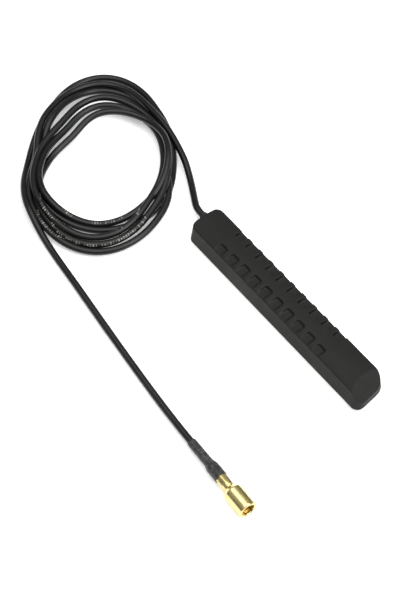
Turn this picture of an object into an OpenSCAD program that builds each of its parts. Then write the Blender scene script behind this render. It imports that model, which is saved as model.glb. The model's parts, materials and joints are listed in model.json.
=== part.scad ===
// Stick-on cellular antenna: bar housing with an adhesive foot, a coiled thin
// coax cable and a push-on coaxial plug.  Millimetres, +Z up.
// Origin: centre of the housing's underside.  +X runs along the housing, away
// from the cable.  The object lies on z = 0 in its shipped layout.

/* [Housing] */
// Length of the bar housing
housing_l = 96; // [70:0.5:130]
// Width of the bar housing
housing_w = 16; // [14:0.1:24]
// Height from the underside of the liner to the crown
housing_h = 9.2; // [8.6:0.1:12]
// Height of the upright sides, where the crown starts
side_h = 8.2; // [7.8:0.1:10]
// Draft of the upright sides
side_draft = 1.2; // [0:0.05:1.4]
// Corner radius at the cable end
corner_r_back = 2.5; // [0.5:0.1:4]
// Corner radius at the nose end, on the -Y side
corner_r_nose = 3; // [1:0.1:6]
// Corner radius at the nose end, on the +Y side
corner_r_far = 6.5; // [1:0.1:7]
// How far the middle of the nose reaches past half the housing length
nose_reach = 0.7; // [0:0.1:2]
// Skew of the nose end, seen from above
nose_skew = 8; // [0:0.5:12]
// Height of the nose end, where the sloping face starts
nose_z = 5; // [3:0.1:6]
// Slope of the nose face
nose_slope = 34; // [20:0.5:45]
// Housing wall
wall = 1.2; // [0.8:0.1:2]

/* [Grip pockets] */
// Pockets along each long edge
pocket_n = 10; // [2:1:14]
// Distance from one pocket to the next
pocket_pitch = 6.24; // [5:0.02:10]
// Length of one pocket
pocket_l = 4; // [2:0.1:6]
// Start of the first pocket
pocket_x0 = -33.9; // [-45:0.1:-20]
// Half width of the plain strip between the rows, at mid length
strip_mid = 1.9; // [1:0.1:5]
// Half width of the plain strip at the ends of the rows
strip_end = 3.2; // [1:0.1:6]
// Height of the pocket floor
pocket_floor = 7; // [6.7:0.05:8]

/* [Adhesive foot] */
// Thickness of the release liner
liner_t = 0.2; // [0.1:0.05:0.4]
// Thickness of the foam tape
tape_t = 0.8; // [0.5:0.1:1.6]
// How far the tape stays inside the outline
tape_inset = 0.5; // [0.2:0.1:2]
// How far the liner's pull tab reaches past the tape
tab_l = 0.4; // [0:0.1:4]
// Thickness of the base plate
base_t = 0.8; // [0.6:0.1:1.5]

/* [Board] */
// Length of the antenna board
board_l = 79; // [50:0.5:110]
// Width of the antenna board
board_w = 9.6; // [6:0.1:14]
// Thickness of the antenna board
board_t = 0.6; // [0.4:0.1:1.6]
// Thickness of the copper tracks
copper_t = 0.05; // [0.035:0.005:0.2]

/* [Cable] */
// Outside diameter of the cable jacket
cable_d = 2.7; // [2.4:0.05:3]
// Height of the cable where it leaves the housing
exit_z = 3.3; // [2.9:0.05:3.6]
// Sideways place of the cable where it leaves the housing
exit_y = 2; // [-3:0.1:3]
// Length of the strain-relief boot outside the housing
boot_l = 3.6; // [2:0.1:6]
// Distance from the housing to the first bend
boot_bend = 7; // [5:0.5:12]
// Rings per turn of the coil
rings_per_turn = 24; // [16:8:32]

/* [Plug] */
// Outside diameter of the plug barrel
barrel_d = 7.2; // [5.5:0.1:8]
// Inside diameter of the plug barrel
barrel_bore = 4.9; // [4.7:0.1:6]
// Length of the plug barrel
barrel_l = 10.7; // [8:0.1:14]
// Inside diameter of the slotted contact
contact_id = 3.7; // [3.5:0.05:4]
// Outside diameter of the crimp ferrule
ferrule_d = 4.3; // [3.6:0.1:4.6]
// Heading of the plug, from +X
plug_yaw = -3; // [-20:0.5:20]
// Rise of the plug towards its mouth
plug_rise = 2.9; // [0:0.1:5]

/* [Hidden] */
$fn = 64;

// colours shared by several pieces
copper = [0.8, 0.5, 0.3];
gold = [0.86, 0.68, 0.3];
solder = [0.75, 0.76, 0.78];
black = [0.07, 0.07, 0.07];
silver = [0.72, 0.72, 0.74];
white = [0.95, 0.95, 0.93];

half_l = housing_l / 2;
half_w = housing_w / 2;

// heights
z_base = liner_t + tape_t;                // underside of the base plate
z_floor = z_base + base_t;                // inside floor
z_board = z_floor + 0.2;                  // underside of the board
z_top = z_board + board_t;                // top of the board
z_copper = z_top + copper_t;              // top of the copper
z_roof = 5.6;                             // underside of the cover's roof

// cable layers, outside and bore radii
jacket_r = cable_d / 2;
jacket_bore = jacket_r - 0.33;
braid_r = 0.92;
braid_bore = 0.78;
dielectric_r = 0.75;
dielectric_bore = 0.27;
conductor_r = 0.24;

// ---------- helpers ----------
// cylinder along X between two places
module rod(r, from, to) translate([from, 0, 0]) rotate([0, 90, 0]) cylinder(h = to - from, r = r);
module pipe(r, bore, from, to) difference() {
  rod(r, from, to);
  rod(bore, from - 1, to + 1);
}
// solid turned about X; the profile is [radius, x]
module turned(profile) rotate([0, 90, 0]) rotate_extrude() polygon(profile);
module on_exit() translate([0, exit_y, exit_z]) children();
// rectangle with its own corner radius at the back (-X) and nose (+X) ends
module rounded_plan(l, w, r_back, r_nose, h) linear_extrude(h) union() {
  translate([-l / 2 + r_back, -w / 2]) square([l - r_back - r_nose, w]);
  translate([-l / 2, -w / 2 + r_back]) square([l, w - 2 * r_back]);
  translate([-l / 2, -w / 2 + r_nose]) square([l, w - 2 * r_nose]);
  for (side = [-1, 1]) {
    translate([-l / 2 + r_back, side * (w / 2 - r_back)]) circle(r_back);
    translate([l / 2 - r_nose, side * (w / 2 - r_nose)]) circle(r_nose);
  }
}

// ---------- plug axis ----------
// raised so that the back edge of the barrel's wall clears the ground
mouth = [57.2, -63.5, barrel_d / 2 + 0.46];
plug_dir = [cos(plug_yaw) * cos(plug_rise), sin(plug_yaw) * cos(plug_rise), sin(plug_rise)];
stub_l = 36.5;                            // from the mouth back to the second bend

// ---------- bends ----------
// The cable run has a domed end at each bend, held in a socket in the jacket
// of the straight piece next to it.
flex_x = -half_l - boot_bend;
flex_boot = [flex_x, exit_y, exit_z];     // first bend, on the exit axis
flex_plug = mouth - stub_l * plug_dir;    // second bend, on the plug axis
flex_gap = 0.07;                          // running gap of the domed ends
core_inset = 1.6;                         // inner layers of the straight pieces stop this short
module socket_cut(bend) translate(bend) sphere(jacket_r + flex_gap, $fn = 64);

// ---------- cable run ----------
// The coil is laid out in a frame turned by coil_turn about the origin, with
// its centre at coil_centre in that frame.
coil_turn = 51.95;
coil_centre = [-70.3, 68.9];
station_angle = 45;
// outline radius of the coil at eight directions, one station apart
outline_r = [30.0, 34.0, 44.4, 34.1, 29.4, 36.6, 44.3, 35.7];
// how the cable is laid, eight stations a turn: [inward from the outline,
// height of the cable centre].  The first and last rows lie one station
// before and after the coil.
lay = [
  [-14, 1.4], [-3.4, 2.4],
  [1.4, 4.6], [4.9, 4.1], [2.5, 4.5], [2.9, 4.4], [3.5, 4.0], [1.7, 3.6], [2.2, 5.4], [4.7, 2.7],
  [4.6, 1.5], [7.8, 1.7], [5.2, 1.7], [4.9, 1.7], [5.5, 1.5], [5.1, 3.3], [4.4, 8.2], [1.5, 5.7],
  [4.7, 4.7], [11.6, 3.5], [9.6, 3.0], [6.0, 5.6], [6.9, 5.1], [8.3, 4.4], [8.2, 5.0], [5.5, 6.1],
  [7.6, 3.3], [15.8, 1.5], [13.1, 3.1], [9.1, 4.7], [10.4, 4.2], [14.5, 3.5], [9.4, 8.3], [3.3, 8.4],
  [7.7, 6.5], [21.0, 2.7], [17.1, 1.5], [9.1, 1.4], [8.9, 1.4], [11.3, 1.4], [3.7, 1.4], [1.4, 1.4],
  [1.4, 1.4], [1.7, 1.4], [1.4, 1.4], [1.4, 1.4], [1.8, 1.4], [-8, 1.4]];
// [x, y, z] points of the lead between the coil and the plug
lead = [[-80.2, -51.4, 1.4], [-54.7, -54.2, 1.4], [-27, -57.3, 1.4], [0, -60, 1.45]];

// Catmull-Rom spline from b to c, t from 0 to 1
function spline(a, b, c, d, t) =
  b + 0.5 * t * (c - a + t * (2 * a - 5 * b + 4 * c - d + t * (3 * (b - c) + d - a)));
// n points along the span that starts at knot i
function span(knots, i, n) =
  [for (j = [0:n - 1]) spline(knots[i - 1], knots[i], knots[i + 1], knots[i + 2], j / n)];
// [radius, height] of a row of the lay
function lay_at(i) = let (row = min(i, len(lay) - 1))
  [outline_r[(row + 7) % 8] - lay[row][0], lay[row][1]];
// centre of the cable at a coil angle, in degrees from the start of the coil
function coil_point(angle) =
  let (place = angle / station_angle + 1,
    i = floor(place),
    polar = spline(lay_at(i - 1), lay_at(i), lay_at(i + 1), lay_at(i + 2), place - i),
    x = coil_centre[0] + polar[0] * cos(angle),
    y = coil_centre[1] + polar[0] * sin(angle))
  [x * cos(coil_turn) - y * sin(coil_turn), x * sin(coil_turn) + y * cos(coil_turn), polar[1]];

coil_end = station_angle * (len(lay) - 3);
ring_step = 360 / rings_per_turn;
knots_in = [
  flex_boot + [6, 0, 0],
  flex_boot,
  [flex_x - 4.4, exit_y + 2.2, 2.7],
  [flex_x - 13.4, exit_y + 7.2, 1.75],
  coil_point(0),
  coil_point(ring_step)];
plug_approach = flex_plug - 3 * plug_dir;
knots_out = concat([coil_point(coil_end - ring_step), coil_point(coil_end)], lead,
  [plug_approach, flex_plug, flex_plug + 12 * plug_dir]);
// centre line from the first bend to the second
path = concat(
  [for (i = [1:3]) each span(knots_in, i, 2)],
  [for (angle = [0:ring_step:coil_end - 0.01]) coil_point(angle)],
  [for (i = [1:5]) each span(knots_out, i, i == 1 ? 3 : 4)],
  [plug_approach, flex_plug]);
last = len(path) - 1;

function unit(v) = v / norm(v);
function heading(i) = i == 0 ? [-1, 0, 0]
  : i == last ? plug_dir
  : unit(unit(path[i + 1] - path[i]) + unit(path[i] - path[i - 1]));

// Shapes of a layer's ends, outermost station first:
// [reach past the bend, amount taken off the squared radius]
domed_end = [[0.78, 0.61], [0.42, 0.18], [0, 0]];
long_end = [[0.78, 0], [0, 0]];
short_end = [[-0.3, 0]];
function end_station(i, out, r, row) =
  [path[i] + out * row[0] * heading(i), heading(i), sqrt(r * r - row[1])];
// stations of a layer: [point, heading, radius]
function stations(r, end_shape) = concat(
  [for (row = end_shape) end_station(0, -1, r, row)],
  [for (i = [1:last - 1]) [path[i], heading(i), r]],
  [for (j = [len(end_shape) - 1:-1:0]) end_station(last, 1, r, end_shape[j])]);

cable_sides = 8;
// points of the ring at one station, square to its heading
function ring(station) =
  let (side = unit(cross(station[1], [0, 0, 1])), up = cross(side, station[1]))
  [for (k = [0:cable_sides - 1]) let (angle = 360 * (k + 0.5) / cable_sides)
    station[0] + station[2] * (cos(angle) * side + sin(angle) * up)];
// index of point k of ring i; the bore's rings follow the outer ones
function vertex(i, k) = i * cable_sides + k % cable_sides;
// solid through the outer stations, hollow if there are bore stations
module sweep(outer, bore = []) {
  n_out = len(outer);
  n_all = n_out + len(bore);
  sides = [0:cable_sides - 1];
  outer_faces = [for (i = [0:n_out - 2], k = sides)
    [vertex(i, k), vertex(i + 1, k), vertex(i + 1, k + 1), vertex(i, k + 1)]];
  solid_ends = [
    [for (k = sides) k],
    [for (k = [cable_sides - 1:-1:0]) vertex(n_out - 1, k)]];
  hollow_faces = n_all == n_out ? [] : concat(
    [for (i = [n_out:n_all - 2], k = sides)
      [vertex(i, k), vertex(i, k + 1), vertex(i + 1, k + 1), vertex(i + 1, k)]],
    [for (k = sides)
      [vertex(0, k), vertex(0, k + 1), vertex(n_out, k + 1), vertex(n_out, k)]],
    [for (k = sides) [vertex(n_out - 1, k), vertex(n_all - 1, k),
      vertex(n_all - 1, k + 1), vertex(n_out - 1, k + 1)]]);
  polyhedron(points = [for (station = concat(outer, bore)) each ring(station)],
    faces = concat(outer_faces, n_all == n_out ? solid_ends : hollow_faces), convexity = 20);
}

module cable_jacket() color(black)
  sweep(stations(jacket_r, domed_end), stations(jacket_bore, long_end));
module cable_braid() color(silver)
  sweep(stations(braid_r, short_end), stations(braid_bore, short_end));
module cable_dielectric() color(white)
  sweep(stations(dielectric_r - 0.02, short_end), stations(dielectric_bore, short_end));
module cable_conductor() color(copper) sweep(stations(conductor_r, short_end));

// ---------- housing ----------
crown_w = half_w - side_draft;
crown_rise = housing_h - side_h;
crown_r = (crown_w * crown_w + crown_rise * crown_rise) / (2 * crown_rise);
// half width of the drafted sides, carried on to 1 above the crown
crown_top = half_w - side_draft * (housing_h + 1 - z_base) / (side_h - z_base);
nose_x = half_l + nose_reach;
function nose_at(y) = nose_x - y * tan(nose_skew);

// recess in the cover's underside that takes the base plate
recess_l = housing_l - 2 * wall;
recess_w = housing_w - 2 * wall;
recess_r_back = 0.8;
recess_r_nose = 5;
base_gap = 0.05;                          // around the base plate
boot_r = 1.62;
flange_r = 1.9;                           // of the boot's flange
flange_seat_r = 1.96;
peg_xs = [-28, 34];                       // pegs that locate the board

module section() intersection() {
  polygon([[-half_w, z_base], [half_w, z_base],
    [crown_top, housing_h + 1], [-crown_top, housing_h + 1]]);
  translate([0, housing_h - crown_r]) circle(crown_r, $fn = 240);
}
// waste outside a rounded corner at the cable end
module back_corner(r, side) translate([-half_l, side * half_w]) scale([1, -side]) difference() {
  translate([-1, -1]) square(r + 1);
  translate([r, r]) circle(r);
}
// waste outside the corner between a long side and the skewed nose line; the
// arc meets both at a hair's angle
module nose_corner(r, side) {
  y = side * (half_w - r);
  x = nose_at(y) - r / cos(nose_skew);
  y_out = side * (half_w + 1);
  normal = [cos(nose_skew), sin(nose_skew)];
  difference() {
    polygon([[x, y], [x, y_out], [nose_at(side * half_w) + 2, y_out], [x, y] + (r + 1.5) * normal]);
    translate([x, y]) circle(r + 0.02);
  }
}
module outer_plan() translate([0, 0, z_base]) linear_extrude(housing_h) difference() {
  polygon([[-half_l, -half_w], [nose_at(-half_w), -half_w], [nose_at(half_w), half_w],
    [-half_l, half_w]]);
  for (side = [-1, 1]) {
    back_corner(corner_r_back, side);
    nose_corner(side < 0 ? corner_r_nose : corner_r_far, side);
  }
}
module nose_cut()
  translate([nose_x, 0, nose_z]) rotate([0, 0, nose_skew]) rotate([0, nose_slope, 0])
    translate([-40, -half_w - 4, 0]) cube([60, housing_w + 8, 12]);
// pocket open to the long side, with rounded inner corners; the inner ends
// of a row follow a parabola
module pocket(i, side) {
  x = pocket_x0 + pocket_pitch * i + pocket_l / 2;
  row_mid = pocket_x0 + (pocket_pitch * (pocket_n - 1) + pocket_l) / 2;
  off_mid = (x - row_mid) / (row_mid - pocket_x0);
  y_in = strip_mid + (strip_end - strip_mid) * off_mid * off_mid;
  r = 0.9;
  y_out = half_w + 1;
  translate([x, 0, pocket_floor]) linear_extrude(3) {
    translate([-pocket_l / 2 + r, side > 0 ? y_in : -y_out])
      square([pocket_l - 2 * r, y_out - y_in]);
    translate([-pocket_l / 2, side > 0 ? y_in + r : -y_out])
      square([pocket_l, y_out - y_in - r]);
    for (end = [-1, 1])
      translate([end * (pocket_l / 2 - r), side * (y_in + r)]) circle(r, $fn = 32);
  }
}
module top_cover() color([0.16, 0.16, 0.17]) difference() {
  intersection() {
    translate([-half_l, 0, 0]) rotate([90, 0, 90]) linear_extrude(housing_l + 4) section();
    outer_plan();
  }
  nose_cut();
  for (i = [0:pocket_n - 1], side = [-1, 1]) pocket(i, side);
  // cavity, recess for the base plate and cable hole with its flange seat
  rounded_plan(recess_l - 5, recess_w - 1.2, 1, 3, z_roof);
  translate([0, 0, z_base - 1])
    rounded_plan(recess_l, recess_w, recess_r_back, recess_r_nose, base_t + 1.05);
  on_exit() {
    rod(boot_r + 0.03, -half_l - 1, -half_l + 4);
    rod(flange_seat_r, -half_l + 1.7, -half_l + 3);
  }
}
module base_plate() color([0.2, 0.2, 0.21]) difference() {
  union() {
    translate([0, 0, z_base])
      rounded_plan(recess_l - 2 * base_gap, recess_w - 2 * base_gap,
        recess_r_back - base_gap, recess_r_nose - base_gap, base_t);
    // rails and pegs for the board, rooted in the plate
    for (side = [-1, 1])
      translate([-30, side * (board_w / 2 - 0.6) - 0.4, z_floor - 0.3]) cube([70, 0.8, 0.5]);
    for (x = peg_xs)
      translate([x, 0, z_floor - 0.3]) cylinder(h = z_top - z_floor + 0.6, r = 0.75, $fn = 32);
  }
  on_exit() {
    rod(boot_r + 0.1, -half_l - 1, -37.6);
    rod(flange_seat_r, -half_l - 1, -half_l + 3);
  }
}
module foot_plan(h)
  rounded_plan(housing_l - 2 * tape_inset, housing_w - 2 * tape_inset, 0.9, 5.6, h);
module foam_tape() color([0.85, 0.86, 0.84]) translate([0, 0, liner_t]) foot_plan(tape_t);
module release_liner() color([0.93, 0.88, 0.72]) union() {
  foot_plan(liner_t);
  translate([half_l - tape_inset - 3, -3, 0]) cube([3 + tab_l, 6, liner_t]);
}

// ---------- board ----------
board_x0 = -37.5;                         // cable end of the board
module antenna_board() color([0.1, 0.36, 0.2]) difference() {
  translate([board_x0, -board_w / 2, z_board]) cube([board_l, board_w, board_t]);
  for (x = peg_xs) translate([x, 0, z_board - 1]) cylinder(h = 3, r = 0.82, $fn = 32);
}
// copper track of width w through [x, y] points, along X or Y
module track(points, w) for (i = [0:len(points) - 2]) {
  a = points[i];
  b = points[i + 1];
  translate([min(a[0], b[0]) - w / 2, min(a[1], b[1]) - w / 2, z_top])
    cube([abs(a[0] - b[0]) + w, abs(a[1] - b[1]) + w, copper_t]);
}
module low_band_arm() color(copper) track([[-20.5, 1.5], [38, 1.5], [38, 3.6], [-24, 3.6]], 1);
module high_band_arm() color(copper) track([[-20.5, 0], [10, 0], [10, -1.8]], 0.9);
module ground_pad() color(copper) union() {
  translate([board_x0 + 0.4, -4.4, z_top]) cube([6.2, 3.4, copper_t]);
  translate([board_x0 + 6.4, -4.4, z_top]) cube([66, 1.3, copper_t]);
}
// block centred on [x, y], on the copper
module chip(x, y, size) translate([x - size[0] / 2, y - size[1] / 2, z_copper]) cube(size);
module matching_inductor() color([0.85, 0.85, 0.83]) difference() {
  chip(-22.6, 1.5, [1.9, 1.1, 0.8]);
  translate([-22.6, 1.5, z_copper + 0.7]) cylinder(h = 1, r = 0.3, $fn = 24);
}
module matching_capacitor() color([0.6, 0.45, 0.3]) union() {
  chip(-22.8, -0.1, [1.0, 1.0, 0.5]);
  chip(-22.8, -0.1, [1.6, 0.9, 0.45]);
}

// ground clip: a collar round the braid, with a foot on the ground pad
clip_x = -40.9;
collar_l = 2.3;
clip_y = -3.6;
clip_t = 0.25;
clip_foot = [5.6, 1.5, clip_t];
clip_fit = 0.02;
module ground_clip() color([0.8, 0.66, 0.35]) difference() {
  union() {
    on_exit() rod(braid_r + 0.26, clip_x, clip_x + collar_l);
    translate([clip_x, clip_y, z_copper]) cube([collar_l, exit_y - clip_y, clip_t]);
    translate([clip_x, clip_y, z_copper]) cube(clip_foot);
  }
  on_exit() rod(braid_r + clip_fit, -42, -38);
}
// part of a ball of solder that lies above z
module solder_dome(centre, r, z) intersection() {
  translate(centre) sphere(r, $fn = 48);
  translate([-40, -10, z]) cube([20, 20, 3]);
}
module solder_signal() color(solder) difference() {
  solder_dome([-34.4, exit_y, z_top - 0.4], 1.7, z_top);
  on_exit() rod(conductor_r + 0.01, -40, -34.1);
}
module solder_ground() color(solder) difference() {
  solder_dome([-35.2, -2.85, z_top - 0.6], 1.25, z_copper);
  translate([clip_x - 0.1, clip_y - clip_fit, z_copper - 0.01])
    cube(clip_foot + [0.1 + clip_fit, 2 * clip_fit, 0.01 + clip_fit]);
}

// ---------- cable tail in the housing ----------
module strain_relief_boot() color([0.1, 0.1, 0.1]) on_exit() difference() {
  union() {
    rod(boot_r, -half_l - 0.2, -half_l + wall + 0.1);
    rod(flange_r, -half_l + 1.75, -half_l + 2.9);
    translate([-half_l - 0.02, 0, 0]) rotate([0, -90, 0])
      cylinder(h = boot_l, r1 = 2.05, r2 = boot_r);
    rod(boot_r, -half_l + wall, -half_l + 1.8);
  }
  rod(jacket_r + 0.01, -half_l - 8, -half_l + 6);
}
// the layers are stripped back in steps towards the board
tail_x = flex_x + core_inset;
module jacket_tail() color(black) difference() {
  on_exit() pipe(jacket_r, jacket_bore, flex_x, -41.2);
  socket_cut(flex_boot);
}
module braid_tail() color(silver) on_exit() pipe(braid_r, braid_bore, tail_x, -38.4);
module dielectric_tail() color(white)
  on_exit() pipe(dielectric_r, dielectric_bore, tail_x, -37.7);
module conductor_tail() color(copper) on_exit() rod(conductor_r, tail_x, -34.2);

// ---------- plug, drawn along its own axis with the mouth at x = 0 ----------
stub_x = -stub_l + core_inset;
ferrule_r = ferrule_d / 2;
barrel_r = barrel_d / 2;
bore_r = barrel_bore / 2;
module place_plug()
  translate(mouth) rotate([0, 0, plug_yaw]) rotate([0, -plug_rise, 0]) children();

module jacket_stub() color(black) difference() {
  place_plug() pipe(jacket_r, jacket_bore, -stub_l, -18.7);
  socket_cut(flex_plug);
}
// the braid flares out over the plug body, under the ferrule
module braid_stub() color(silver) place_plug() turned([
  [braid_bore, stub_x], [braid_r, stub_x], [braid_r, -18.68], [1.44, -18.1],
  [1.44, -11.5], [1.17, -11.5], [1.17, -17.95], [braid_bore, -18.6]]);
module dielectric_stub() color(white)
  place_plug() pipe(dielectric_r, dielectric_bore, stub_x, -10.2);
module conductor_stub() color(copper) place_plug() rod(conductor_r, stub_x, -8.4);
module heat_shrink() color([0.06, 0.06, 0.06]) place_plug() turned([
  [jacket_r + 0.02, -34.2], [1.72, -34.2], [1.78, -23.4], [2.1, -22.4], [2.38, -21.8],
  [2.42, -16.4], [2.34, -15.9], [ferrule_r + 0.01, -15.9], [ferrule_r + 0.01, -18.62],
  [jacket_r + 0.02, -18.75]]);
module crimp_ferrule() color(gold) place_plug() turned([
  [1.46, -18.5], [ferrule_r - 0.1, -18.5], [ferrule_r, -18.3],
  [ferrule_r, -11.4], [ferrule_r - 0.15, -11.2], [1.46, -11.2]]);
module plug_body() color(gold) place_plug() turned([
  [0.8, -17.6], [1.0, -17.6], [1.15, -17.4], [1.15, -11.15], [1.98, -11.15],
  [1.98, -10.73], [1.28, -10.73], [1.28, -8.6], [0.8, -8.6]]);
module plug_shell() color([0.88, 0.7, 0.3]) place_plug() turned([
  [1.3, -barrel_l], [2.3, -barrel_l], [barrel_r, -barrel_l + 1.8], [barrel_r, -0.25],
  [barrel_r - 0.25, 0], [bore_r + 0.25, 0], [bore_r, -0.25], [bore_r, -8.5], [1.3, -8.5]]);
// cup with two crossed slots, open towards the mouth
module outer_contact() color(gold) place_plug() difference() {
  turned([[1.4, -8.48], [2.24, -8.48], [2.24, -1.4],
    [contact_id / 2, -1.4], [contact_id / 2, -5], [1.4, -5]]);
  for (turn = [0, 90]) rotate([turn + 45, 0, 0]) translate([-4.6, -0.25, -4]) cube([8, 0.5, 8]);
}
module insulator() color(white)
  place_plug() pipe(r = 1.39, bore = 0.52, from = -8.45, to = -5.02);
// collared pin, bored at the mouth end and over the conductor
module centre_contact() color(gold) place_plug() difference() {
  union() {
    rod(0.5, -10, -5);
    rod(0.62, -9.9, -8.7);
  }
  rod(0.26, -7.8, -4);
  rod(conductor_r + 0.01, -11, -8.3);
}

top_cover();
base_plate();
foam_tape();
release_liner();
antenna_board();
low_band_arm();
high_band_arm();
ground_pad();
matching_inductor();
matching_capacitor();
solder_signal();
solder_ground();
ground_clip();
strain_relief_boot();
jacket_tail();
braid_tail();
dielectric_tail();
conductor_tail();
cable_jacket();
cable_braid();
cable_dielectric();
cable_conductor();
jacket_stub();
braid_stub();
dielectric_stub();
conductor_stub();
heat_shrink();
crimp_ferrule();
plug_body();
plug_shell();
outer_contact();
insulator();
centre_contact();
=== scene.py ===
# Stick-on antenna with a coiled coaxial lead and a gold plug.
# The housing lies along x, nose at +x, stuck side down. The cable leaves at -x, is coiled
# on the floor behind the housing, then passes along its -y side to the plug.
# z is up and the floor is at z = 0. Lengths are in mm unless marked otherwise.
import json
import math
import bpy
import numpy as np
from mathutils import Matrix, Vector


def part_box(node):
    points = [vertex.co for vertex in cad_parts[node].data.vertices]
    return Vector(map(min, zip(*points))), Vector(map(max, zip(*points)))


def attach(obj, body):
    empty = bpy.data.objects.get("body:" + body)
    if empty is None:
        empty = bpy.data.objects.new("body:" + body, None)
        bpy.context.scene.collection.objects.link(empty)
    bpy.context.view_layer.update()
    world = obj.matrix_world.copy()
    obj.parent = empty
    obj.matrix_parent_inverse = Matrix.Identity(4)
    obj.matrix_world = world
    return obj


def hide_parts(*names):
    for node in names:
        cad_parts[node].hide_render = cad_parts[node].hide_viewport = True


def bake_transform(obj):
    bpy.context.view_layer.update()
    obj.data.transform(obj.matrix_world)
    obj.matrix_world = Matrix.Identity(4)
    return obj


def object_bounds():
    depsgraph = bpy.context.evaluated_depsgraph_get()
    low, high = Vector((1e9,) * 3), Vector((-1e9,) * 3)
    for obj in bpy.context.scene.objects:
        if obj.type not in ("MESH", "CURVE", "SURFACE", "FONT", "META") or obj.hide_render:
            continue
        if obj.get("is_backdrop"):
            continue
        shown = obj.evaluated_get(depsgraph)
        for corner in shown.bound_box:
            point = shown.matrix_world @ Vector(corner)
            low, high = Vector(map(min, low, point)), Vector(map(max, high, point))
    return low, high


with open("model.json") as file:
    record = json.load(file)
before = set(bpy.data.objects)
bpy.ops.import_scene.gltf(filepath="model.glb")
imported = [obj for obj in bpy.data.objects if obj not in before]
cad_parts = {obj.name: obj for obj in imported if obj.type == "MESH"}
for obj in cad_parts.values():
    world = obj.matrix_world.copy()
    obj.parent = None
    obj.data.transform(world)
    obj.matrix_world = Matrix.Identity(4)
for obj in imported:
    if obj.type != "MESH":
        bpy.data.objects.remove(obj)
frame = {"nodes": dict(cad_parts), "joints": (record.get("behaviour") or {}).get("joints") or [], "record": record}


def to_lists(value):
    return [to_lists(item) for item in value] if hasattr(value, "__len__") else float(value)


cad_bounds = to_lists(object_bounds())
MM = 0.001                                  # one millimetre, in metres

VIEW_AZIMUTH = math.radians(51.95)
VIEW_ELEVATION = math.radians(56.0)
TO_CAMERA = (math.sin(VIEW_AZIMUTH) * math.cos(VIEW_ELEVATION),
             -math.cos(VIEW_AZIMUTH) * math.cos(VIEW_ELEVATION),
             math.sin(VIEW_ELEVATION))


def box_mm(node):
    low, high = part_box(node)
    return np.array(low) * 1000.0, np.array(high) * 1000.0


joints = {joint["name"]: joint for joint in frame["joints"]}
mounts = {mount["name"]: mount for mount in frame["record"]["mounts"]}


def joint_at(name):
    """A joint's place, under whichever key the frame stores it."""
    for key in ("origin_m", "pos_m", "anchor_m", "origin", "pos", "anchor"):
        if key in joints[name]:
            return np.array(joints[name][key], float) * 1000.0
    raise KeyError(name)


def declare(ob, node, rides=None):
    """Hides the CAD node that ob replaces and attaches ob to the body that carries it."""
    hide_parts(node)
    if rides:
        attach(ob, rides)


# =============================================================== mesh tools
def unit(vector):
    return vector / np.linalg.norm(vector, axis=-1, keepdims=True)


def smooth_max(a, b, blend):
    h = np.maximum(blend - np.abs(a - b), 0.0) / blend
    return np.maximum(a, b) + h * h * blend * 0.25


def make_mesh(name, points, faces, material, sharp, uv=None):
    """Smooth mesh from points in mm and a list of face arrays; sharp is in degrees."""
    mesh = bpy.data.meshes.new(name)
    coords = np.asarray(points, np.float64) * MM
    counts = np.concatenate([np.full(len(f), f.shape[1], np.int32) for f in faces])
    loops = np.concatenate([np.asarray(f, np.int32).ravel() for f in faces])
    starts = np.concatenate([[0], np.cumsum(counts)[:-1]]).astype(np.int32)
    mesh.vertices.add(len(coords))
    mesh.vertices.foreach_set("co", coords.astype(np.float32).ravel())
    mesh.loops.add(len(loops))
    mesh.loops.foreach_set("vertex_index", loops)
    mesh.polygons.add(len(counts))
    mesh.polygons.foreach_set("loop_start", starts)
    mesh.update(calc_edges=True)
    mesh.polygons.foreach_set("use_smooth", np.ones(len(counts), bool))
    if uv is not None:
        layer = mesh.uv_layers.new(name="path")
        layer.data.foreach_set("uv", np.asarray(uv, np.float32).ravel())
    mesh.validate()
    mesh.set_sharp_from_angle(angle=math.radians(sharp))
    mesh.materials.append(material)
    ob = bpy.data.objects.new(name, mesh)
    bpy.context.scene.collection.objects.link(ob)
    return ob


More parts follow.
